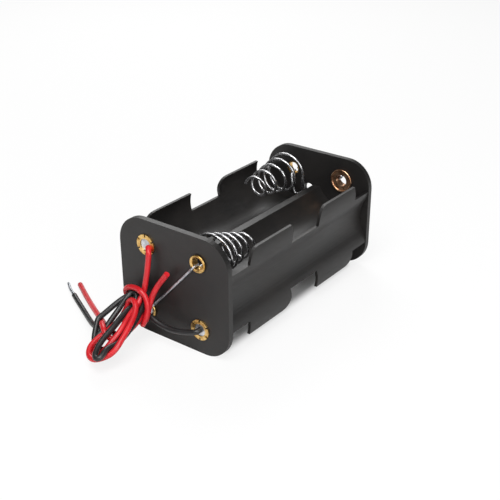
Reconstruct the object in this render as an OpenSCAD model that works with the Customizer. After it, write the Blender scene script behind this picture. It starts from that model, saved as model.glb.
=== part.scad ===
// Open holder for four AA cells, two above and two below a shared web, with wire leads.
// X runs across the holder, Y along the cells, Z up. The origin lies on the ground plane,
// midway between the end plates and midway across them. The leads leave the -Y plate.

/* [Cells] */
// Largest diameter of one cell
cell_d = 14.5; // [13.5:0.1:15]
// Length of one cell over its button
cell_l = 50.5; // [48:0.5:52]
// Radial clearance between a cell and its bay
cell_clear = 0.05; // [0.05:0.05:0.3]
// Distance between the axes of two cells side by side
pitch_x = 15; // [14.9:0.1:15.6]
// Distance between the axes of the upper and the lower cells
pitch_z = 16.4; // [15.8:0.1:18]

/* [Moulding] */
// Length beside each cell that the pressed spring fills
spring_room = 5.2; // [4:0.2:8]
// Thickness of the end plates
plate_t = 1.4; // [1:0.1:2]
// Height of a plate's edge beyond the cell axis
plate_rise = 6; // [5:0.2:7]
// Radius of the plate corners
plate_corner = 6.8; // [3:0.2:7]
// Thickness of the side walls
wall_t = 0.7; // [0.5:0.1:1.2]
// Step from the side walls out to the plate edges
plate_lip = 0.05; // [0:0.05:0.5]
// Radius of the hollow between the two wall bulges
groove_r = 9; // [4:0.5:14]
// Height of the ridges between the cells, from the middle of the web
ridge_h = 5; // [3.5:0.1:6]

/* [Wall cut-outs] */
// Length of one flap along the wall
flap_l = 16; // [12:0.5:18]
// Length of the gap between two flaps
gap_l = 11; // [6:0.5:14]
// Height of the flaps beyond the cell axis
flap_rise = 2.2; // [1:0.1:3.5]
// Depth of the middle gap below the cell axis
gap_drop = 2.3; // [1:0.1:3]
// Depth of the end gaps below the cell axis
end_drop = 1.2; // [0.5:0.1:2.5]
// Radius of the rounded corner of each flap
flap_round = 3.2; // [1:0.1:3.3]

/* [Eyelets] */
// Bore of the hollow eyelets
eyelet_bore = 3; // [2.4:0.1:3.4]
// Wall of the eyelets
eyelet_wall = 0.3; // [0.2:0.05:0.4]
// Clearance round the eyelets in the plates
eyelet_clear = 0.05; // [0.02:0.01:0.15]
// Outer diameter of the contact face in the bay
contact_d = 6.2; // [5.4:0.1:7.4]
// Radius of the rolled edge of the contact face
contact_roll = 0.28; // [0.22:0.02:0.4]
// Radius of the rolled rim outside the plate
rim_roll = 0.3; // [0.25:0.01:0.4]
// Outer diameter of the split rim that takes a lead
petal_d = 5; // [4.6:0.1:5.6]
// Number of petals in the split rim
petals = 6; // [4:1:8]
// Width of the slots between the petals
petal_slot = 0.35; // [0.2:0.05:0.6]
// Diameter of the spare hole in the far plate
spare_d = 3.2; // [2:0.1:4]
// Distance of the spare hole from the middle, across
spare_x = -2.4; // [-3:0.1:3]
// Distance of the spare hole above the middle
spare_z = 3.4; // [2:0.1:6]

/* [Springs] */
// Diameter of the spring wire
spring_wire = 0.7; // [0.5:0.05:0.9]
// Coil radius at the wide end, on the wire's centre
spring_r_wide = 5; // [4:0.1:5.5]
// Coil radius at the tip, on the wire's centre
spring_r_tip = 2.4; // [2:0.1:3.5]
// Height above the plate where the widest coil begins
spring_seat = 2.9; // [2.7:0.1:4.5]
// Free height of the spring above the plate
spring_h = 18.5; // [14:0.5:20]
// Turns of the cone
spring_turns = 4.5; // [3:0.5:6]

/* [Links and leads] */
// Diameter of the bare link wires
link_d = 0.6; // [0.4:0.05:0.7]
// Radius of the solder beads on the links
bead_r = 0.85; // [0.6:0.05:1]
// Diameter of the insulated leads
lead_d = 1.3; // [1.1:0.05:1.4]
// Diameter of the stripped and tinned lead ends
tinned_d = 0.8; // [0.5:0.05:1]
// Length of the folded bundle of leads
hank_l = 19; // [18:0.5:21]
// Width of the folded bundle
hank_w = 6.6; // [5.6:0.2:7.4]
// Thickness of the folded bundle
hank_t = 4.4; // [3.6:0.2:5]
// Turns of the wire tie round the bundle
tie_turns = 1.3; // [1.2:0.1:1.4]

/* [Hidden] */

// The cells are numbered in series: upper left, upper right, lower left, lower right.
CELLS = [[-1, 1], [1, 1], [-1, -1], [1, -1]];
// Which plate holds the button contact of each cell: -1 is the near plate, 1 the far one
BUTTON = [-1, 1, -1, 1];

bay_r = cell_d / 2 + cell_clear;
wall_r = bay_r + wall_t;
bay_l = cell_l + spring_room;
body_l = bay_l + 2 * plate_t;
half_x = pitch_x / 2;
half_z = pitch_z / 2;
mid_z = half_z + plate_rise;
plate_w = pitch_x + 2 * (wall_r + plate_lip);
plate_h = 2 * mid_z;
shank_r = eyelet_bore / 2 + eyelet_wall;
// Solder in a lead's bore: its start above the plate's inner face, and its depth
plug_z = 0.95;
plug_h = 0.6;
arc_steps = 12;
fine = 48;

function arc(c, r, a0, a1, steps) =
    [for (i = [0:steps]) let (a = a0 + (a1 - a0) * i / steps) c + r * [cos(a), sin(a)]];
function mirror_y(pts) = [for (i = [len(pts) - 1:-1:0]) [pts[i][0], -pts[i][1]]];
function turned(pts) = [for (p = pts) -p];
function unit(v) = v / norm(v);

// A round tube along a list of points, as one polyhedron with flat ends.
function tangents(p) = [for (i = [0:len(p) - 1])
    unit(p[min(i + 1, len(p) - 1)] - p[max(i - 1, 0)])];
function squared(n, t) = unit(n - (n * t) * t);
function frames(t, n) = [for (i = 0, m = squared(n, t[0]); i < len(t);
    i = i + 1, m = i < len(t) ? squared(m, t[i]) : m) m];
module tube(path, r, sides, start = [0.13, 0.21, 1]) {
    t = tangents(path);
    n = frames(t, start);
    pts = [for (i = [0:len(path) - 1]) for (k = [0:sides - 1])
        let (a = 360 * k / sides)
        path[i] + r * (cos(a) * n[i] + sin(a) * cross(t[i], n[i]))];
    last = (len(path) - 1) * sides;
    walls = [for (i = [0:len(path) - 2]) for (k = [0:sides - 1])
        let (a = i * sides + k, b = i * sides + (k + 1) % sides)
        each [[a, a + sides, b], [b, a + sides, b + sides]]];
    caps = [[for (k = [0:sides - 1]) k], [for (k = [sides - 1:-1:0]) last + k]];
    polyhedron(pts, concat(walls, caps), convexity = 6);
}

// Puts a child drawn round +Z, with Z = 0 on the inner face of a plate and Z out of the
// holder, on the axis of one cell.
module at_plate(cell, side) {
    translate([CELLS[cell][0] * half_x, side * bay_l / 2, mid_z + CELLS[cell][1] * half_z])
        rotate([-90 * side, 0, 0]) children();
}

// ---- Moulded body ----

module plate_outline() {
    inset_x = plate_w / 2 - plate_corner;
    inset_z = plate_h / 2 - plate_corner;
    polygon(concat(
        arc([inset_x, inset_z], plate_corner, 0, 90, arc_steps),
        arc([-inset_x, inset_z], plate_corner, 90, 180, arc_steps),
        arc([-inset_x, -inset_z], plate_corner, 180, 270, arc_steps),
        arc([inset_x, -inset_z], plate_corner, 270, 360, arc_steps)));
}

// Outer skin of the cradle seen along the cells: two bulges a side with a hollow between.
module skin_outline() {
    top = half_z + flap_rise;
    reach = wall_r + groove_r;
    groove_x = half_x + sqrt(reach * reach - half_z * half_z);
    lean = atan2(half_z, groove_x - half_x);
    upper = concat(
        arc([half_x, half_z], wall_r, asin(flap_rise / wall_r), -lean, arc_steps),
        arc([groove_x, 0], groove_r, 180 - lean, 180, arc_steps / 2));
    side = concat([[0, top]], upper, mirror_y(upper), [[0, -top]]);
    polygon(concat(side, turned(side)));
}

// Side view of the cradle: low at its ends and in the middle, high at the flaps.
function flap_points(y0) =
    let (low = half_z - end_drop - 1, top = half_z + flap_rise)
    concat([[y0, low]],
        arc([y0 + flap_round, top - flap_round], flap_round, 180, 90, arc_steps / 2),
        [[y0 + flap_l, top], [y0 + flap_l, low]]);
module flap_side() {
    difference() {
        square([bay_l, 2 * (half_z - end_drop)], center = true);
        for (s = [-1, 1])
            translate([0, s * half_z])
                square([gap_l, 2 * gap_drop], center = true);
    }
    for (y0 = [-gap_l / 2 - flap_l, gap_l / 2]) {
        polygon(flap_points(y0));
        polygon(turned(flap_points(y0)));
    }
}

module cradle() {
    ridge_gap = 2 * (half_z + flap_rise - ridge_h);
    difference() {
        intersection() {
            rotate([90, 0, 0])
                linear_extrude(bay_l, center = true) skin_outline();
            rotate([90, 0, 90])
                linear_extrude(2 * plate_w, center = true) flap_side();
        }
        for (c = CELLS)
            translate([c[0] * half_x, 0, c[1] * half_z])
                rotate([90, 0, 0]) cylinder(r = bay_r, h = bay_l + 2, center = true, $fn = 96);
        for (s = [-1, 1])
            translate([0, 0, s * (half_z + flap_rise)])
                cube([bay_r, bay_l + 2, ridge_gap], center = true);
    }
}

module plate(side) {
    difference() {
        translate([0, side * (bay_l + plate_t) / 2, 0])
            rotate([90, 0, 0])
                linear_extrude(plate_t, center = true) plate_outline();
        for (c = CELLS)
            translate([c[0] * half_x, side * body_l / 2, c[1] * half_z])
                rotate([90, 0, 0])
                    cylinder(r = shank_r + eyelet_clear, h = 3 * plate_t, center = true, $fn = fine);
        if (side > 0)
            translate([spare_x, body_l / 2, spare_z])
                rotate([90, 0, 0])
                    cylinder(d = spare_d, h = 3 * plate_t, center = true, $fn = fine);
    }
}

module holder_body() {
    color([0.15, 0.14, 0.13])
        translate([0, 0, mid_z]) {
            union() {
                cradle();
                plate(-1);
                plate(1);
            }
        }
}

// ---- Eyelets and contacts ----

module shank(z0) {
    translate([eyelet_bore / 2, z0])
        square([eyelet_wall, plate_t + rim_roll - z0]);
}

module rolled_rim() {
    translate([shank_r + 0.02, plate_t + rim_roll + 0.03]) circle(r = rim_roll, $fn = 24);
}

// A rim split into petals, folded flat on the plate.
module split_rim() {
    flare = 0.3;
    translate([0, 0, plate_t + 0.02])
        difference() {
            cylinder(r = petal_d / 2, h = flare, $fn = fine);
            translate([0, 0, -1]) cylinder(d = eyelet_bore, h = 3, $fn = fine);
            for (k = [0:petals - 1])
                rotate([0, 0, 360 * (k + 0.5) / petals])
                    translate([shank_r + 0.1, -petal_slot / 2, -1])
                        cube([petal_d, petal_slot, 3]);
        }
}

module contact_face() {
    web_t = 0.3;
    translate([eyelet_bore / 2, -web_t])
        square([contact_d / 2 - contact_roll - eyelet_bore / 2, web_t]);
    translate([contact_d / 2 - contact_roll, -contact_roll - 0.04])
        circle(r = contact_roll, $fn = 24);
}

module contact(cell, split = false) {
    color([0.80, 0.58, 0.30])
        at_plate(cell, BUTTON[cell]) {
            rotate_extrude($fn = fine) {
                contact_face();
                shank(-0.3);
                if (!split) rolled_rim();
            }
            if (split) split_rim();
        }
}

module eyelet(cell, split = false) {
    color([0.83, 0.66, 0.33])
        at_plate(cell, -BUTTON[cell]) {
            rotate_extrude($fn = fine) {
                shank(0);
                if (!split) rolled_rim();
            }
            if (split) split_rim();
        }
}

// ---- Springs ----

// The wire leaves the bore of its eyelet, drops to the floor of the bay, rises beside the
// ridge as a straight leg and runs into the widest coil, from which it climbs the cone.
function spring_path() =
    let (r0 = eyelet_bore / 2 - spring_wire / 2 - 0.08, w = spring_r_wide,
        floor_r = bay_r - spring_wire / 2 - 0.25, step = 1 / 15,
        climb = spring_h - spring_wire / 2 - spring_seat)
    concat(
        [[0, -r0, -0.9], [0, -r0, 0.15], [0.05, -r0 - 0.6, 0.75], [0.4, -r0 - 1.8, 1.15],
            floor_r * [cos(-74), sin(-74), 0] + [0, 0, spring_seat - 1.5],
            floor_r * [cos(-58), sin(-58), 0] + [0, 0, spring_seat - 1.1],
            floor_r * [cos(-46), sin(-46), 0] + [0, 0, spring_seat - 0.7]],
        [[w - 0.05, -0.6 * w, spring_seat - 0.3], [w, -0.3 * w, spring_seat - 0.1]],
        [for (k = [0:step:spring_turns + 0.001])
            let (a = 360 * k, s = k / spring_turns, r = w + (spring_r_tip - w) * s)
            [cos(a) * r, sin(a) * r, spring_seat + climb * (0.85 * s + 0.15 * s * s)]]);

module spring(cell) {
    side = -BUTTON[cell];
    color([0.75, 0.76, 0.78])
        translate([CELLS[cell][0] * half_x, side * bay_l / 2, mid_z + CELLS[cell][1] * half_z])
            rotate([90, CELLS[cell][1] > 0 ? 0 : 180, side > 0 ? 0 : 180])
                tube(spring_path(), spring_wire / 2, 8);
}

// ---- Soldered links ----

// Half of a link, as distances along the link and heights above the plate: up out of one
// bore, over its rim and down to the plate.
function link_end() =
    let (r = link_d / 2, rim = shank_r, top = 2 * rim_roll + 0.05)
    [[eyelet_bore / 2 - r - 0.06, -0.9], [eyelet_bore / 2 - r - 0.06, top - 0.35],
        [eyelet_bore / 2 - r + 0.12, top + r - 0.15], [rim, top + r + 0.04],
        [rim + 0.55, top + r - 0.15], [rim + 1, r + 0.16], [rim + 1.6, r + 0.03]];

// Beads of solder tie the wire to the rims at the ends named in beads, and a solder plug
// fills the bore at the end named in plug.
module link(from, to, side, beads = [], plug = false) {
    a = [CELLS[from][0] * half_x, CELLS[from][1] * half_z];
    b = [CELLS[to][0] * half_x, CELLS[to][1] * half_z];
    run = norm(b - a);
    path = concat(link_end(), [for (i = [len(link_end()) - 1:-1:0])
        [run - link_end()[i][0], link_end()[i][1]]]);
    off = shank_r + rim_roll + bead_r + 0.12;
    color([0.78, 0.79, 0.80])
        translate([a[0], side * body_l / 2, mid_z + a[1]])
            rotate([0, -atan2(b[1] - a[1], b[0] - a[0]), 0])
                union() {
                    tube([for (p = path) [p[0], side * p[1], 0]], link_d / 2, 8);
                    for (e = beads)
                        translate([e == 0 ? off : run - off, 0, 0])
                            rotate([-90 * side, 0, 0])
                                intersection() {
                                    sphere(r = bead_r, $fn = 24);
                                    translate([-2, -2, 0.02]) cube(4);
                                }
                    if (plug)
                        translate([run, 0, 0])
                            rotate([-90 * side, 0, 0])
                                translate([0, 0, -0.55])
                                    sphere(r = eyelet_bore / 2 - 0.04, $fn = 32);
                }
}

// Solder that fills the bore behind a lead, with the lead's stripped strands in it.
module solder_plug(cell, side) {
    color([0.72, 0.73, 0.74])
        at_plate(cell, side) {
            translate([0, 0, plug_z]) cylinder(d = eyelet_bore - 0.06, h = plug_h, $fn = fine);
        }
}

// ---- Leads ----

// The folded bundle leans from the ground up towards the near plate. Its own frame has its
// first axis across, its second along it from the lower end, and its third through it.
hank_tilt = 25;
hank_at = [-7.2, -45.4, hank_w / 2 * sin(hank_tilt) + hank_t / 2 * cos(hank_tilt) + 0.02];
function on_hank(u, v, w) = hank_at
    + [u, v * cos(hank_tilt) - w * sin(hank_tilt), v * sin(hank_tilt) + w * cos(hank_tilt)];

module lead_hank() {
    run = hank_l - hank_w;
    color([0.45, 0.08, 0.08])
        translate(hank_at)
            rotate([hank_tilt, 0, 0])
                linear_extrude(hank_t, center = true) {
                    translate([0, run / 2]) square([hank_w, run], center = true);
                    circle(d = hank_w, $fn = fine);
                    translate([0, run]) circle(d = hank_w, $fn = fine);
                }
}

// The short wire that ties the bundle: one end stands up, the rest winds round the bundle.
function tie_path() =
    let (a = hank_w / 2 + lead_d / 2 + 0.5, b = hank_t / 2 + lead_d / 2 + 0.4, v = 10.4)
    concat(
        [on_hank(8.6, 13.6, 7.4), on_hank(7.2, 12.8, 5.6), on_hank(5.8, 12, 3.6),
            on_hank(4.9, 11.2, 1.6)],
        [for (k = [0:0.05:tie_turns + 0.001]) let (t = -10 - 360 * k)
            on_hank(squared_off(a, cos(t)), v - 1.4 * k, squared_off(b, sin(t)))]);
function squared_off(r, c) = r * sign(c) * sqrt(abs(c));

lead_y = -(bay_l / 2 + plug_z + plug_h);
red_route = concat(
    [[-half_x, lead_y, mid_z + half_z], [-half_x, lead_y - 0.5, mid_z + half_z]],
    [[-7.1, -30.7, 22], [-6.3, -31.3, 21], [-5.4, -31.5, 19.4], [-5.3, -31.6, 17.6],
        [-5.6, -31.7, 15.6], [-5.9, -32.2, 13.8]],
    [on_hank(1.2, 10.6, hank_t / 2 + 0.9), on_hank(1.2, 10.6, hank_t / 2)]);
black_route = concat(
    [[half_x, lead_y, mid_z - half_z], [half_x, lead_y - 0.5, mid_z - half_z]],
    [[7.2, -30.8, 5.8], [6.3, -31.7, 5.3], [4.6, -32.2, 4.9], [2.6, -32.5, 4.6],
        [0.4, -32.7, 4.4], [-2, -32.8, 4.3], [-4.2, -32.8, 4.3], [-5.9, -32.7, 4.6]],
    [on_hank(0.5, 12.2, -hank_t / 2 - 1), on_hank(0.5, 12.2, -hank_t / 2)]);
red_end_route = concat(
    [on_hank(-1.4, 7, -hank_t / 2), on_hank(-1.4, 7, -hank_t / 2 - 0.7)],
    [[-9.3, -38, 2.1], [-10.9, -37.6, 1.2], [-13.4, -36.7, 0.8], [-16.4, -35.2, 0.7],
        [-19.5, -33.7, 0.7], [-22.8, -32, 0.7], [-26.2, -30, 0.7], [-29.6, -28.1, 0.7],
        [-33, -26.5, 0.7], [-36, -25.2, 0.7]]);
black_end_route = concat(
    [on_hank(-1.4, 4.8, -hank_t / 2), on_hank(-1.4, 4.8, -hank_t / 2 - 0.5)],
    [[-9.2, -40.3, 1.4], [-10.8, -40, 0.8], [-13.4, -39, 0.7], [-16.6, -37.6, 0.7],
        [-19.9, -36.1, 0.7], [-23.4, -34.2, 0.7], [-27.6, -32.3, 0.7], [-32.2, -30.3, 0.7],
        [-36, -28.5, 0.7]]);
black_tip_route = [[-36, -28.5, 0.7], [-37.9, -27.6, 0.7], [-40.5, -26.1, 0.5]];

module red_lead() color([0.75, 0.08, 0.1]) tube(red_route, lead_d / 2, 8);
module black_lead() color([0.12, 0.12, 0.12]) tube(black_route, lead_d / 2, 8);
module bundle_tie() color([0.75, 0.08, 0.1]) tube(tie_path(), lead_d / 2, 8);
module red_free_end() color([0.75, 0.08, 0.1]) tube(red_end_route, lead_d / 2, 8);
module black_free_end() color([0.12, 0.12, 0.12]) tube(black_end_route, lead_d / 2, 8);
module black_tinned_tip() color([0.75, 0.76, 0.78]) tube(black_tip_route, tinned_d / 2, 8);

holder_body();
contact(0, true);  // contact_1
contact(1);  // contact_2
contact(2);  // contact_3
contact(3);  // contact_4
eyelet(0);  // eyelet_1
eyelet(1);  // eyelet_2
eyelet(2);  // eyelet_3
eyelet(3, true);  // eyelet_4
spring(0);  // spring_1
spring(1);  // spring_2
spring(2);  // spring_3
spring(3);  // spring_4
link(1, 2, -1, plug = true);  // link_near
link(0, 1, 1, beads = [0, 1]);  // link_upper
link(2, 3, 1, beads = [0, 1]);  // link_lower
solder_plug(0, -1);  // solder_red
solder_plug(3, -1);  // solder_black
red_lead();
black_lead();
lead_hank();
bundle_tie();
red_free_end();
black_free_end();
black_tinned_tip();
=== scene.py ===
import math

import bmesh
import bpy
import numpy as np
from mathutils import Matrix, Vector


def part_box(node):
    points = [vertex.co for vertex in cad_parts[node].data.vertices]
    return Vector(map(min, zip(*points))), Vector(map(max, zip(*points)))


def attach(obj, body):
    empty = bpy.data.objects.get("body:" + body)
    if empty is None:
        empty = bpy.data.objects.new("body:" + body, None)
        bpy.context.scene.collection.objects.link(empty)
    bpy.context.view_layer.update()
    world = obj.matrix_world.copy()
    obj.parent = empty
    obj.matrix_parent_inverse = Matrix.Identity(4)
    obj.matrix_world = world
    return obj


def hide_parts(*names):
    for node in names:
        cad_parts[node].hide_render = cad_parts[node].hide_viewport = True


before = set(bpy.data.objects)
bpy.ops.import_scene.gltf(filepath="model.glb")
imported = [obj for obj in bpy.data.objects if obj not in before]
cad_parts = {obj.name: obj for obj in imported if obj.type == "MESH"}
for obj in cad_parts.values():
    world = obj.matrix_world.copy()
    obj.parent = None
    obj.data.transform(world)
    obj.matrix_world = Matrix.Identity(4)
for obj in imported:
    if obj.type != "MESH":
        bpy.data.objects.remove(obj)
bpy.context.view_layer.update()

MM = 0.001
SCENE = bpy.context.scene
SCENE.view_settings.view_transform = "Standard"

# ---- Places, from the frame ----

body_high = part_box("holder_body")[1]
PLATE_OUT = body_high.y                        # outer faces of the end plates
PLATE_T = 1.4 * MM
PLATE_IN = PLATE_OUT - PLATE_T


def middle(node):
    """The middle of a node's box."""
    low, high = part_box(node)
    return (low + high) / 2


# The axes of the four cells: upper left, upper right, lower left, lower right
CELL = [Vector((middle(f"contact_{k}").x, 0, middle(f"contact_{k}").z)) for k in range(1, 5)]
# The plate that holds each cell's button contact: -1 is the near plate, 1 the far one
BUTTON = [-1, 1, -1, 1]


# ---- Camera ----

def make_camera():
    turn, rise, roll = math.radians(37.08), math.radians(26.86), math.radians(-0.14)
    back = Vector((math.sin(turn) * math.cos(rise), -math.cos(turn) * math.cos(rise), math.sin(rise)))
    right = Vector((math.cos(turn), math.sin(turn), 0))
    up = back.cross(right)
    across = math.cos(roll) * right + math.sin(roll) * up
    upward = math.cos(roll) * up - math.sin(roll) * right
    data = bpy.data.cameras.new("camera")
    data.lens = 66.74
    data.sensor_width = 36
    data.clip_start = 0.01
    camera = bpy.data.objects.new("camera", data)
    SCENE.collection.objects.link(camera)
    place = Matrix.Identity(4)
    for i, axis in enumerate((across, upward, back)):
        place.col[i].xyz = axis
    place.translation = Vector((121.11, -161.44, 113.70)) * MM
    camera.matrix_world = place
    SCENE.camera = camera


make_camera()


# ---- Shader maths ----

class Value:
    """An output socket of a shader node, with Python's operators for values."""

    def __init__(self, finish, socket):
        self.finish = finish
        self.socket = socket

    def _sum(self, operation, a, b):
        return self.finish.node("ShaderNodeMath", {"operation": operation}, {0: a, 1: b})

    def __add__(self, other):
        return self._sum("ADD", self, other)

    __radd__ = __add__

    def __sub__(self, other):
        return self._sum("SUBTRACT", self, other)

    def __rsub__(self, other):
        return self._sum("SUBTRACT", other, self)

    def __mul__(self, other):
        return self._sum("MULTIPLY", self, other)

    __rmul__ = __mul__

    def between(self, low, high, to_low=0.0, to_high=1.0):
        """The value's place between two limits, clamped."""
        return self.finish.node("ShaderNodeMapRange", {"clamp": True},
                                {0: self, 1: low, 2: high, 3: to_low, 4: to_high})


class Finish:
    """A material with one Principled shader, built from nodes."""

    def __init__(self, name, **sockets):
        self.material = bpy.data.materials.new(name)
        self.material.use_nodes = True
        self.tree = self.material.node_tree
        self.tree.nodes.clear()
        self.shader = self.tree.nodes.new("ShaderNodeBsdfPrincipled")
        self.out = self.tree.nodes.new("ShaderNodeOutputMaterial")
        self.tree.links.new(self.shader.outputs[0], self.out.inputs[0])
        self.set(**sockets)

    def set(self, **sockets):
        for name, value in sockets.items():
            self._feed(self.shader.inputs[name.replace("_", " ")], value)
        return self

    def _feed(self, socket, value):
        if isinstance(value, Value):
            self.tree.links.new(value.socket, socket)
        elif hasattr(value, "__len__") and len(value) == 3 and socket.type == "RGBA":
            socket.default_value = (*value, 1)
        else:
            socket.default_value = value

    def node(self, kind, settings=None, sockets=None, out=0):
        made = self.tree.nodes.new(kind)
        for name, value in (settings or {}).items():
            setattr(made, name, value)
        for name, value in (sockets or {}).items():
            self._feed(made.inputs[name], value)
        return Value(self, made.outputs[out])

    def place(self, scale=(1, 1, 1), turn=(0, 0, 0), at=(0, 0, 0)):
        where = self.node("ShaderNodeTexCoord", out=3)
        return self.node("ShaderNodeMapping", None,
                         {"Vector": where, "Scale": scale, "Rotation": turn, "Location": at})

    def noise(self, per_mm, detail=3.0, roughness=0.5, stretch=(1, 1, 1), at=(0, 0, 0)):
        return self.node("ShaderNodeTexNoise", None,
                         {"Vector": self.place(stretch, at=at), "Scale": per_mm / MM, "Detail": detail,
                          "Roughness": roughness})

    def mix(self, share, a, b, blend="MIX"):
        return self.node("ShaderNodeMix", {"data_type": "RGBA", "blend_type": blend},
                         {0: share, 6: a, 7: b}, out=2)

    def bump(self, height, strength, depth_mm, below=None):
        sockets = {"Height": height, "Strength": strength, "Distance": depth_mm * MM}
        if below is not None:
            sockets["Normal"] = below
        return self.node("ShaderNodeBump", None, sockets)


def black_plastic():
    """Moulded styrene: near black, half gloss, with flow lines, fine grain, scuffs and dust."""
    f = Finish("moulded_black", IOR=1.5)
    cloud = f.noise(0.12, 4, 0.6)
    flow = f.noise(0.5, 3, 0.6, stretch=(1, 0.07, 1))
    grain = f.noise(7, 2, 0.6)
    scuff = f.noise(1.6, 5, 0.75, stretch=(1, 0.25, 1.4), at=(0.011, 0.02, 0.005)).between(0.58, 0.72)
    dust = f.noise(11, 2, 0.5, at=(0.004, 0.03, 0.01)).between(0.70, 0.78)
    base = f.mix(cloud.between(0.35, 0.7), (0.0085, 0.0080, 0.0078), (0.0150, 0.0130, 0.0120))
    base = f.mix(scuff * 0.3, base, (0.030, 0.026, 0.024))
    base = f.mix(dust * 0.25, base, (0.16, 0.15, 0.14))
    rough = 0.36 + 0.10 * flow + 0.16 * cloud + 0.10 * scuff
    fine = f.bump(grain, 0.22, 0.02)
    lines = f.bump(flow, 0.25, 0.06, fine)
    return f.set(Base_Color=base, Roughness=rough, Normal=lines).material


def brass(name, dark, bright, worn):
    """Thin pressed brass: brighter and browner in random patches, with dark pitted spots."""
    f = Finish(name, Metallic=1.0)
    patch = f.noise(0.9, 4, 0.6)
    streak = f.noise(5, 3, 0.6, stretch=(1, 0.2, 1))
    pit = f.noise(9, 2, 0.5).between(0.62, 0.75)
    base = f.mix(patch.between(0.35, 0.65), dark, bright)
    base = f.mix(pit * 0.5, base, worn)
    rough = 0.20 + 0.22 * streak + 0.25 * pit
    return f.set(Base_Color=base, Roughness=rough, Normal=f.bump(streak, 0.25, 0.03)).material


def wire_metal(name, dull, bright, low, high):
    """Drawn and plated wire: pale, with drawing marks and duller patches."""
    f = Finish(name, Metallic=1.0)
    patch = f.noise(0.8, 3, 0.6)
    mark = f.noise(6, 3, 0.6, stretch=(1, 1, 0.4))
    base = f.mix(patch.between(0.35, 0.7), dull, bright)
    rough = low + (high - low) * mark
    return f.set(Base_Color=base, Roughness=rough, Normal=f.bump(mark, 0.2, 0.02)).material


def vinyl(name, deep, full, scuffed):
    """Soft vinyl insulation: satin, a little uneven, with handling marks."""
    f = Finish(name, IOR=1.5, Coat_Weight=0.12, Coat_Roughness=0.25)
    cloud = f.noise(0.35, 3, 0.6)
    mark = f.noise(2.2, 4, 0.7).between(0.60, 0.75)
    grain = f.noise(8, 2, 0.5)
    base = f.mix(cloud.between(0.3, 0.7), deep, full)
    base = f.mix(mark * 0.3, base, scuffed)
    rough = 0.34 + 0.14 * cloud + 0.12 * mark
    return f.set(Base_Color=base, Roughness=rough, Normal=f.bump(grain, 0.15, 0.02)).material


PLASTIC = black_plastic()
EYELET = brass("eyelet_brass", (0.50, 0.27, 0.065), (0.86, 0.60, 0.24), (0.20, 0.10, 0.04))
CONTACT = brass("contact_copper_tone", (0.36, 0.17, 0.085), (0.86, 0.56, 0.36), (0.16, 0.08, 0.05))
SPRING = wire_metal("nickel_spring_wire", (0.42, 0.42, 0.43), (0.78, 0.78, 0.79), 0.16, 0.38)
TINNED = wire_metal("tinned_copper_wire", (0.42, 0.44, 0.47), (0.72, 0.74, 0.78), 0.22, 0.45)
SOLDER = wire_metal("solder", (0.40, 0.41, 0.43), (0.74, 0.75, 0.77), 0.20, 0.50)
RED = vinyl("red_vinyl", (0.50, 0.008, 0.014), (0.64, 0.012, 0.020), (0.75, 0.10, 0.10))
BLACK = vinyl("black_vinyl", (0.009, 0.009, 0.009), (0.016, 0.016, 0.017), (0.06, 0.06, 0.06))


# ---- Pieces ----

def add_piece(name, data, material, slot, *nodes):
    piece = bpy.data.objects.new(name, data)
    SCENE.collection.objects.link(piece)
    data.materials.append(material)
    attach(piece, "root")
    if nodes:
        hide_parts(*nodes)
    return piece


def wire(name, points, radius, material, slot, *nodes, sides=5):
    """A round wire along points, as a curve of one open spline."""
    data = bpy.data.curves.new(name, "CURVE")
    data.dimensions = "3D"
    data.bevel_depth = radius
    data.bevel_resolution = sides
    data.use_fill_caps = True
    spline = data.splines.new("POLY")
    spline.points.add(len(points) - 1)
    for at, p in zip(spline.points, points):
        at.co = (p[0], p[1], p[2], 1)
    spline.use_smooth = True
    return add_piece(name, data, material, slot, *nodes)


def through(points, step):
    """A smooth line through the points, with a point every step."""
    p = np.array(points, float)
    p = np.vstack([2 * p[0] - p[1], p, 2 * p[-1] - p[-2]])
    line = []
    for a, b, c, d in zip(p, p[1:], p[2:], p[3:]):
        ta, tb, tc = (np.sqrt(np.linalg.norm(v)) + 1e-12 for v in (b - a, c - b, d - c))
        mb = (c - b) + tb * ((b - a) / ta - (c - a) / (ta + tb))
        mc = (c - b) + tb * ((d - c) / tc - (d - b) / (tb + tc))
        for s in np.linspace(0, 1, 12, endpoint=False):
            line.append((2 * s**3 - 3 * s**2 + 1) * b + (s**3 - 2 * s**2 + s) * mb
                        + (3 * s**2 - 2 * s**3) * c + (s**3 - s**2) * mc)
    line.append(p[-2])
    return spaced(np.array(line), step)


def spaced(line, step):
    """The same line with its points at even distances."""
    run = np.concatenate([[0], np.cumsum(np.linalg.norm(np.diff(line, axis=0), axis=1))])
    count = max(2, int(round(run[-1] / step)))
    at = np.linspace(0, run[-1], count + 1)
    return np.stack([np.interp(at, run, line[:, k]) for k in range(3)], 1)


# ---- Leads ----

LEAD_D = 1.3 * MM
PLATE_HALF_W = 17       # in mm: half a plate's width and a little room beside it
TILT = math.radians(25)
HANK_AT = np.array([-7.2, -45.4, 3.3 * math.sin(TILT) + 2.2 * math.cos(TILT) + 0.02])


def on_hank(u, v, w):
    """A point in the bundle's own frame: across, along from the lower end, and through, in mm."""
    return HANK_AT + np.array([u, v * math.cos(TILT) - w * math.sin(TILT),
                               v * math.sin(TILT) + w * math.cos(TILT)])


def on_hank_all(points):
    return [on_hank(*p) for p in points]


plug_y = -(PLATE_OUT / MM + 0.15)
red_x, red_z = CELL[0].x / MM, CELL[0].z / MM
black_x, black_z = CELL[3].x / MM, CELL[3].z / MM

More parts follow.
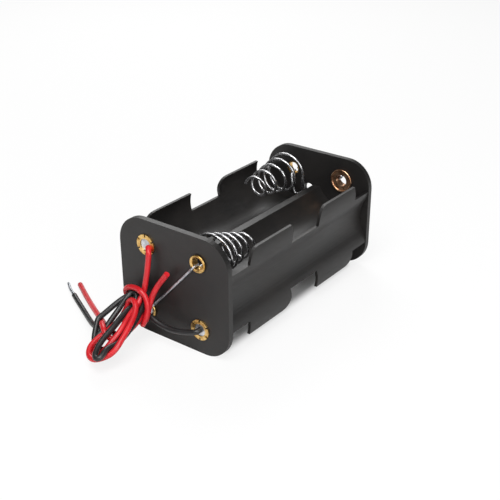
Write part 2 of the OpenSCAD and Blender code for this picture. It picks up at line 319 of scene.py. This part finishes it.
red_points = (
    [[red_x + 0.8, plug_y - 0.1, red_z - 0.3], [-6.2, -30.0, 21.9], [-5.5, -30.7, 21.2],
     [-5.25, -31.1, 20.2], [-5.1, -31.2, 18.9], [-5.5, -31.2, 17.2], [-6.2, -31.3, 15.3],
     [-6.6, -31.6, 13.9]]
    + on_hank_all([
        (0.5, 15.6, 1.5), (0.4, 14.2, 0.7), (0.4, 12.6, 0.8), (0.7, 11, 1.4), (1.4, 8.6, 1.8),
        (2.4, 6.3, 1.9), (3.0, 3.9, 1.7), (2.7, 1.8, 1.2),
        (2.1, 0.1, 0.6), (1.1, -1.4, 0.2), (-0.2, -2.2, 0), (-1.5, -2.0, -0.1), (-2.3, -1.0, -0.3),
        (-2.4, 0.5, -0.5),
        (-2.2, 2.2, -0.8), (-2.0, 4.2, -1.0), (-1.9, 6.5, -1.1), (-1.8, 9, -1.0), (-1.8, 11, -0.6),
        (-1.8, 12.6, 0.3), (-1.2, 13.7, 1.3), (0.2, 13.9, 2.0), (1.7, 13.2, 2.1),
        (2.5, 11.7, 1.9),
        (3.2, 8.6, 1.8), (4.1, 5.6, 1.9), (4.4, 3, 1.8), (4.0, 0.8, 1.6), (3.1, -1.2, 1.3),
        (2.4, -3.1, 1.0),
        (1.3, -4.1, 0.9), (0, -4.1, 0.9), (-1.3, -3.3, 0.9), (-2.3, -1.7, 0.9),
        (-2.7, 0, 1.0), (-2.4, 1.9, 1.1), (-1.6, 3.3, 1.2),
        (-1.0, 5, 0.9), (-1.0, 7, 0.5), (-1.2, 9, 0.2), (-1.0, 11, 0), (-0.7, 12.7, -0.5),
        (0.1, 13.8, -0.9), (1.1, 14.0, -1.0), (2.0, 13.2, -1.0), (2.4, 11.8, -0.9),
        (2.4, 9.8, -0.8), (2.3, 7.6, -0.7), (2.2, 5.4, -0.5), (2.0, 3.8, -0.2),
        (1.6, 2.5, 0.1), (0.8, 1.9, 0.6), (-0.2, 2.3, 1.3), (-1.1, 3.1, 2.1)])
    + [[-9.0, -42.3, 6.9], [-12.6, -39.6, 6.2], [-16.8, -37.0, 5.1], [-21.5, -33.9, 3.8],
       [-26.9, -30.4, 2.5], [-31.6, -27.2, 1.3], [-36.1, -24.3, 0.65]])

black_points = (
    [[black_x, plug_y, black_z], [black_x, plug_y - 0.5, black_z], [7.2, -30.8, 5.8],
     [6.3, -31.5, 5.3], [4.6, -31.8, 4.9], [2.6, -31.9, 4.6], [0.4, -32.0, 4.5],
     [-2, -32.1, 4.6], [-4.2, -32.3, 4.9]]
    + on_hank_all([
        (1.2, 13, -3.2), (0.8, 12, -2.8), (0.5, 10.5, -2.5), (0.4, 8.5, -2.4), (0.3, 6.5, -2.4),
        (0.2, 4.5, -2.4), (0, 2.6, -2.4),
        (-0.5, 0.9, -2.4), (-1.6, -0.3, -2.3), (-2.9, -0.5, -1.9), (-3.9, 0.1, -1.4),
        (-4.5, 1.2, -0.8), (-4.9, 2.6, -0.3),
        (-5.1, 4.2, 0.1), (-5.2, 6.0, 0.3), (-5.3, 7.8, 0.4), (-5.3, 9.8, 0.4), (-5.2, 11.9, 0.3),
        (-4.8, 13.6, 0.3), (-4.0, 15.3, 0.4), (-2.6, 16.5, 0.5), (-1.0, 16.8, 0.5),
        (0.6, 16.3, 0.3), (1.7, 15.3, 0), (2.1, 13.8, -0.1),
        (2.0, 12.4, 0.1), (2.5, 10.4, 0.2), (3.1, 8.1, 0.3), (3.4, 6, 0.4), (3.5, 4.2, 0.4),
        (3.3, 2.6, 0.5),
        (3.0, 1.1, 0.9), (3.1, -0.4, 1.7), (3.6, -1.9, 2.3), (3.9, -3.3, 2.5), (3.2, -4.2, 2.5),
        (2.1, -3.8, 2.5), (1.2, -2.3, 2.5), (0.6, -0.4, 2.4), (0.2, 1.6, 2.4), (0.4, 3.5, 2.4),
        (0.8, 5.3, 2.3), (0.5, 7.2, 2.2), (-0.1, 8.9, 2.0), (-0.5, 10.4, 1.5), (-0.6, 12, 0.9),
        (-0.7, 13.6, 0.6), (-0.8, 15.0, 0.9), (-1.4, 16.1, 1.3), (-2.5, 16.3, 1.2),
        (-3.2, 15.3, 1.1), (-3.0, 13.7, 1.0),
        (-2.4, 11.9, 1.0), (-2.4, 9.9, 1.0), (-2.8, 8.0, 0.9), (-3.4, 6, 0.7), (-3.7, 4, 0.5),
        (-3.8, 2.2, 0.2), (-3.5, 0.7, -0.3),
        (-2.8, -0.6, -0.8), (-1.6, -1.4, -1.2), (-0.3, -1.2, -1.3), (0.6, -0.1, -1.3),
        (0.9, 1.6, -1.2), (0.8, 3.4, -1.2), (0.4, 5.0, -1.2), (-0.6, 6.1, -1.5), (-1.9, 6.5, -2.1),
        (-3.3, 6.2, -2.5), (-4.6, 5.7, -2.7), (-6.0, 5.4, -2.9)])
    + [[-15.6, -39.2, 2.6], [-18.6, -37.2, 1.7], [-22.2, -34.9, 1.1], [-26.2, -32.7, 0.75],
       [-30.2, -30.6, 0.65], [-33.4, -28.9, 0.65]])


tie_points = ([[0.1, -31.2, 18.3], [-1.8, -31.2, 15.8], [-3.4, -31.4, 13.5], [-4.4, -31.9, 12.0]]
              + on_hank_all([(2.9, 13.2, -0.2), (2.9, 12.5, -1.8), (1.8, 12.4, -3.0),
                             (0, 13.0, -3.4), (-1.9, 13.7, -3.3), (-3.9, 14.4, -2.7),
                             (-5.3, 15.0, -1.2), (-5.6, 15.2, 0.3), (-5.0, 15.3, 1.7),
                             (-3.7, 15.4, 2.6), (-1.6, 15.6, 3.2), (0.2, 15.8, 3.3),
                             (1.6, 15.7, 3.0), (2.7, 15.1, 2.4), (3.4, 14.3, 1.5),
                             (3.7, 13.4, 0.5), (3.6, 12.4, -0.6), (3.2, 11.3, -1.9),
                             (2.2, 10.7, -3.0)]))


def settle(lines, thick, held, rounds, hold, bend_share=0.3):
    """Lets crossing wires slide apart until they lie against each other, each keeping
    its smooth bend, on the ground and in front of the plate. Lengths are in mm."""
    count = [len(line) for line in lines]
    x = np.vstack(lines)
    home = x.copy()
    owner = np.repeat(np.arange(len(lines)), count)
    order = np.concatenate([np.arange(n) for n in count])
    fixed = np.concatenate([[i < held[k][0] or i >= n - held[k][1] for i in range(n)]
                            for k, n in enumerate(count)])
    free = (~fixed).astype(float)[:, None]
    hold = np.array(hold)[owner][:, None]
    joined = np.nonzero(owner[:-1] == owner[1:])[0]
    of_line = owner[joined]
    spacing = np.linalg.norm(x[joined + 1] - x[joined], axis=1).mean()
    inner = np.nonzero((owner[:-2] == owner[1:-1]) & (owner[1:-1] == owner[2:]))[0] + 1
    first, second = np.triu_indices(len(x), 1)
    apart = (owner[first] != owner[second]) | (order[second] - order[first] > 2.6 * thick / spacing)
    first, second = first[apart], second[apart]
    front = -(PLATE_OUT / MM) - 0.1 - thick / 2
    for turn in range(rounds):
        ease = 1 - turn / rounds
        bend = np.zeros_like(x)
        bend[inner] = 0.5 * (x[inner - 1] + x[inner + 1]) - x[inner]
        x += free * (bend_share * bend + hold * ease * (home - x))
        size = np.linalg.norm(x[joined + 1] - x[joined], axis=1)
        even = (np.bincount(of_line, size) / np.bincount(of_line))[of_line][:, None]
        for k in (0, 1, 0, 1):
            part, rest = joined[k::2], even[k::2]
            step = x[part + 1] - x[part]
            size = np.linalg.norm(step, axis=1)[:, None]
            push = 0.5 * (1 - rest / size) * step
            x[part] += free[part] * push
            x[part + 1] -= free[part + 1] * push
        step = x[second] - x[first]
        size = np.linalg.norm(step, axis=1)
        near = np.nonzero(size < thick)[0]
        if len(near):
            push = (0.5 * (thick - size[near]) / np.maximum(size[near], 1e-6))[:, None] * step[near]
            move = np.zeros_like(x)
            hits = np.zeros(len(x))
            np.add.at(move, first[near], -push)
            np.add.at(move, second[near], push)
            np.add.at(hits, first[near], 1)
            np.add.at(hits, second[near], 1)
            x += free * move / np.maximum(np.sqrt(hits), 1)[:, None]
        x[~fixed, 2] = np.maximum(x[~fixed, 2], thick / 2)
        behind = ~fixed & (np.abs(x[:, 0]) < PLATE_HALF_W)
        x[behind, 1] = np.minimum(x[behind, 1], front)
    ends = np.cumsum([0] + count)
    return [x[a:b] for a, b in zip(ends, ends[1:])]


LEAD_STEP = 0.55
lead_lines = settle([through(p, LEAD_STEP) for p in (red_points, black_points, tie_points)],
                    LEAD_D / MM + 0.02, [(4, 6), (3, 6), (10, 0)], 320, hold=(0.03, 0.03, 0.12))
red_line, black_line, tie_line = (through(line * MM, 0.45 * MM) for line in lead_lines)


red_lead = wire("red_lead_wire", red_line, LEAD_D / 2, RED, "red_insulation",
                "red_lead", "red_free_end", "lead_hank")
black_lead = wire("black_lead_wire", black_line, LEAD_D / 2, BLACK, "black_insulation",
                  "black_lead", "black_free_end", "lead_hank")
tie = wire("red_tie_wire", tie_line, LEAD_D / 2, RED, "red_insulation", "bundle_tie")


def tip_strands():
    """The stripped end of the black lead: strands twisted together and tinned."""
    core = through([(-33.3, -28.95, 0.65), (-36.2, -27.5, 0.7), (-39.2, -25.4, 0.5)], 0.12) * MM
    ahead = Vector(core[-1] - core[0]).normalized()
    side = ahead.cross(Vector((0, 0, 1))).normalized()
    over = side.cross(ahead)
    bm = bmesh.new()
    for strand in range(6):
        rings = []
        for i, c in enumerate(core):
            turn = 2 * math.pi * (strand / 6 + i * 0.012 / 0.16)
            out = 0.24 * MM * (1 - 0.25 * i / len(core))
            at = Vector(c) + out * (math.cos(turn) * side + math.sin(turn) * over)
            ring = bmesh.ops.create_circle(bm, segments=8, radius=0.17 * MM)["verts"]
            turned = Matrix.Translation(at) @ ahead.to_track_quat("Z", "Y").to_matrix().to_4x4()
            bmesh.ops.transform(bm, matrix=turned, verts=ring)
            rings.append([bm.edges.get((ring[k], ring[(k + 1) % 8])) for k in range(8)])
        for a, b in zip(rings, rings[1:]):
            bmesh.ops.bridge_loops(bm, edges=a + b)
        bmesh.ops.holes_fill(bm, edges=rings[0] + rings[-1], sides=8)
    bmesh.ops.recalc_face_normals(bm, faces=bm.faces)
    for face in bm.faces:
        face.smooth = True
    mesh = bpy.data.meshes.new("black_tip_strands")
    bm.to_mesh(mesh)
    bm.free()
    return add_piece("black_tip_strands", mesh, TINNED, "tinned_wire", "black_tinned_tip")


black_tip = tip_strands()


# ---- Springs ----

# The spring's wire, the start of its widest coil and its free height, in mm
SPRING_WIRE, SPRING_SEAT, SPRING_HIGH = 0.7, 2.9, 18.5


def spring_line():
    """The path of the CAD spring, round +Z from the plate's inner face, in mm."""
    bore, wire_d, wide, tip, seat, turns = 3, SPRING_WIRE, 5, 2.4, SPRING_SEAT, 4.5
    r0, floor_r = bore / 2 - wire_d / 2 - 0.08, 7.3 - wire_d / 2 - 0.25
    climb = SPRING_HIGH - wire_d / 2 - seat
    path = [(0, -r0, -0.9), (0, -r0, 0.15), (0.05, -r0 - 0.6, 0.75), (0.4, -r0 - 1.8, 1.15)]
    for angle, lift in ((-74, seat - 1.5), (-58, seat - 1.1), (-46, seat - 0.7)):
        a = math.radians(angle)
        path.append((floor_r * math.cos(a), floor_r * math.sin(a), lift))
    path += [(wide - 0.05, -0.6 * wide, seat - 0.3), (wide, -0.3 * wide, seat - 0.1)]
    for k in range(int(15 * turns) + 1):
        a, s = 2 * math.pi * k / 15, k / 15 / turns
        r = wide + (tip - wide) * s
        path.append((math.cos(a) * r, math.sin(a) * r, seat + climb * (0.85 * s + 0.15 * s * s)))
    return through(path, 0.45)


def make_springs():
    """The four springs; each droops or leans a little toward its tip, and two are shorter."""
    line = spring_line()
    coil_h = SPRING_HIGH - SPRING_SEAT
    # For each spring: its tip's shift across and up, in mm, and the share of its height kept
    lean = ((0.1, 0.4, 1), (-0.3, -2.2, 0.84), (0.2, -0.5, 1), (-0.1, -0.6, 0.95))
    for k, axis in enumerate(CELL):
        side = -BUTTON[k]
        turn = (Matrix.Rotation(0 if side > 0 else math.pi, 3, "Z")
                @ Matrix.Rotation(0 if axis.z > 14 * MM else math.pi, 3, "Y")
                @ Matrix.Rotation(math.pi / 2, 3, "X"))
        at = Vector((axis.x, side * PLATE_IN, axis.z))
        points = []
        for p in line:
            bent = max(0.0, (p[2] - SPRING_SEAT) / coil_h)
            pressed = Vector((p[0], p[1], p[2] - (1 - lean[k][2]) * coil_h * bent))
            points.append(at + turn @ (pressed * MM)
                          + Vector((lean[k][0], 0, lean[k][1])) * bent**1.2 * MM)
        wire(f"spring_coil_{k + 1}", points, SPRING_WIRE / 2 * MM, SPRING, "spring_steel",
             f"spring_{k + 1}", sides=4)


make_springs()


# ---- Other materials on the CAD nodes ----

def dress(node, material):
    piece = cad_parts[node]
    piece.data.materials.clear()
    piece.data.materials.append(material)


dress("holder_body", PLASTIC)
for k in range(1, 5):
    dress(f"contact_{k}", CONTACT if k in (2, 4) else EYELET)
    dress(f"eyelet_{k}", EYELET)
for node in ("link_near", "link_upper", "link_lower"):
    dress(node, TINNED)
for node in ("solder_red", "solder_black"):
    dress(node, SOLDER)


# ---- Floor and light ----

def make_stage():
    bm = bmesh.new()
    bmesh.ops.create_grid(bm, x_segments=1, y_segments=1, size=1.5)
    mesh = bpy.data.meshes.new("floor")
    bm.to_mesh(mesh)
    bm.free()
    floor = bpy.data.objects.new("floor", mesh)
    SCENE.collection.objects.link(floor)
    material = bpy.data.materials.new("white_floor")
    material.use_nodes = True
    nodes, links = material.node_tree.nodes, material.node_tree.links
    nodes.clear()
    paper = nodes.new("ShaderNodeBsdfDiffuse")
    paper.inputs["Color"].default_value = (0.86, 0.86, 0.86, 1)
    glow = nodes.new("ShaderNodeEmission")
    glow.inputs["Color"].default_value = (1, 1, 1, 1)
    where = nodes.new("ShaderNodeTexCoord")
    size = nodes.new("ShaderNodeVectorMath")
    size.operation = "ABSOLUTE"
    past = nodes.new("ShaderNodeVectorMath")
    past.operation = "SUBTRACT"
    past.inputs[1].default_value = (9.5 * MM, 25 * MM, 0)
    beyond = nodes.new("ShaderNodeVectorMath")
    beyond.operation = "MAXIMUM"
    beyond.inputs[1].default_value = (0, 0, 0)
    away = nodes.new("ShaderNodeVectorMath")
    away.operation = "LENGTH"
    links.new(where.outputs["Object"], size.inputs[0])
    links.new(size.outputs[0], past.inputs[0])
    links.new(past.outputs[0], beyond.inputs[0])
    links.new(beyond.outputs[0], away.inputs[0])
    # Painted shadow: the floor's camera-seen glow fades to nothing over the holder's footprint box,
    # reaching full strength 3.5 mm past it. Under the holder the floor shows only its darker diffuse
    # shading.
    glow_beyond_painted_shadow = nodes.new("ShaderNodeMapRange")
    glow_beyond_painted_shadow.interpolation_type = "SMOOTHSTEP"
    glow_beyond_painted_shadow.inputs["From Max"].default_value = 3.5 * MM
    glow_beyond_painted_shadow.inputs["To Max"].default_value = 0.82
    links.new(away.outputs["Value"], glow_beyond_painted_shadow.inputs["Value"])
    ray = nodes.new("ShaderNodeLightPath")
    share = nodes.new("ShaderNodeMath")
    share.operation = "MULTIPLY"
    links.new(ray.outputs["Is Camera Ray"], share.inputs[0])
    links.new(glow_beyond_painted_shadow.outputs[0], share.inputs[1])
    mix = nodes.new("ShaderNodeMixShader")
    out = nodes.new("ShaderNodeOutputMaterial")
    links.new(share.outputs[0], mix.inputs[0])
    links.new(paper.outputs[0], mix.inputs[1])
    links.new(glow.outputs[0], mix.inputs[2])
    links.new(mix.outputs[0], out.inputs[0])
    mesh.materials.append(material)


def make_lamp(name, at, size, power, aim=(0, 0, 0.012)):
    data = bpy.data.lights.new(name, "AREA")
    data.energy = power
    data.size = size
    lamp = bpy.data.objects.new(name, data)
    SCENE.collection.objects.link(lamp)
    lamp.location = at
    lamp.rotation_euler = (Vector(aim) - Vector(at)).to_track_quat("-Z", "Y").to_euler()


def make_world():
    world = bpy.data.worlds.new("studio")
    SCENE.world = world
    world.use_nodes = True
    nodes, links = world.node_tree.nodes, world.node_tree.links
    back = nodes["Background"]
    back.inputs["Color"].default_value = (1, 1, 1, 1)
    back.inputs["Strength"].default_value = 0.10
    seen = nodes.new("ShaderNodeBackground")
    seen.inputs["Strength"].default_value = 1.0
    ray = nodes.new("ShaderNodeLightPath")
    mix = nodes.new("ShaderNodeMixShader")
    links.new(ray.outputs["Is Camera Ray"], mix.inputs[0])
    links.new(back.outputs[0], mix.inputs[1])
    links.new(seen.outputs[0], mix.inputs[2])
    links.new(mix.outputs[0], nodes["World Output"].inputs[0])


make_stage()
make_world()
make_lamp("key", (0.10, -0.22, 0.42), 0.30, 2.1)
make_lamp("fill", (0.42, -0.20, 0.20), 0.25, 1.0)
make_lamp("rim", (-0.25, 0.25, 0.30), 0.25, 1.0)
